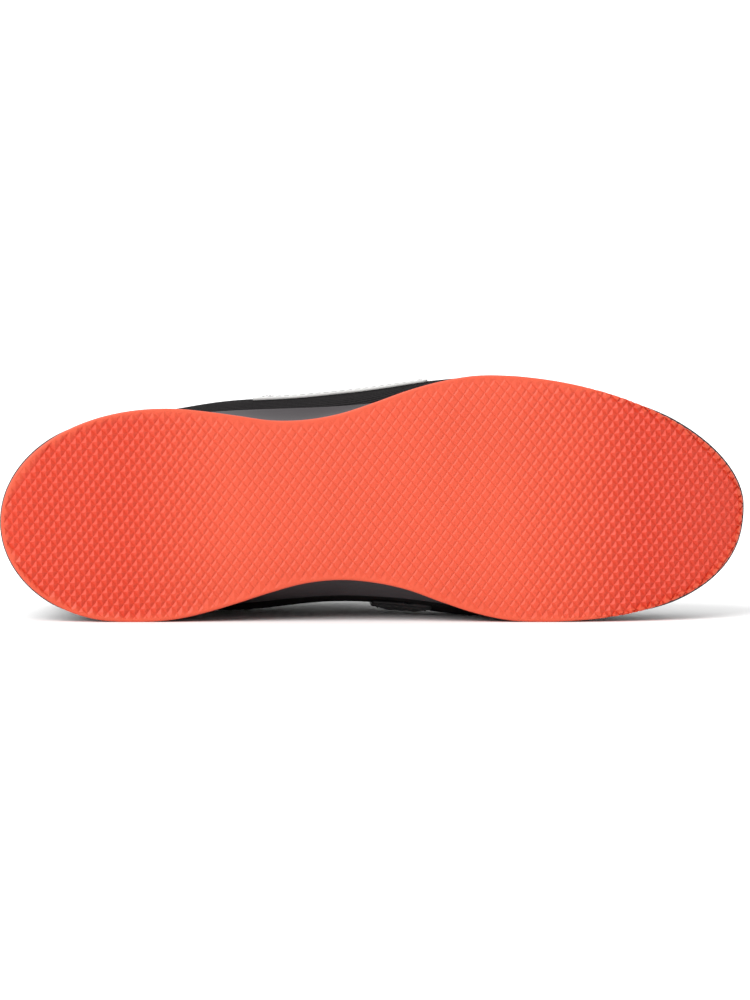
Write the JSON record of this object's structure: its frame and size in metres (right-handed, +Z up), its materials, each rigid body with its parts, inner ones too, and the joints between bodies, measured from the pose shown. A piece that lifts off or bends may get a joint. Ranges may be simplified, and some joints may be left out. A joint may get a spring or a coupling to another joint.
{
  "type": "weightlifting shoe",
  "caption": "Low right weightlifting shoe with a raised wedge heel, flat rubber sole, laced throat and instep strap, lying on its inner side.",
  "frame": {"origin": "middle of the lying shoe's box, on the floor", "axes": "+X from heel to toe, +Z up from the floor through the outer side, the sole faces -Y"},
  "size_m": [0.295, 0.1372, 0.0974],
  "materials": {
    "red_rubber": "matt moulded",
    "grey_foam": "satin",
    "black_cloth": "ribbed weave",
    "black_facing": "smooth synthetic",
    "white_panel": "smooth synthetic"
  },
  "bodies": {
    "root": {"outsole": "red_rubber", "midsole": "grey_foam", "insole": "black_cloth", "upper": "black_cloth", "tongue": "black_cloth", "lace": "black_cloth", "eyestay": "black_facing", "strap": "black_facing", "quarter_panel": "white_panel"}
  },
  "joints": []
}
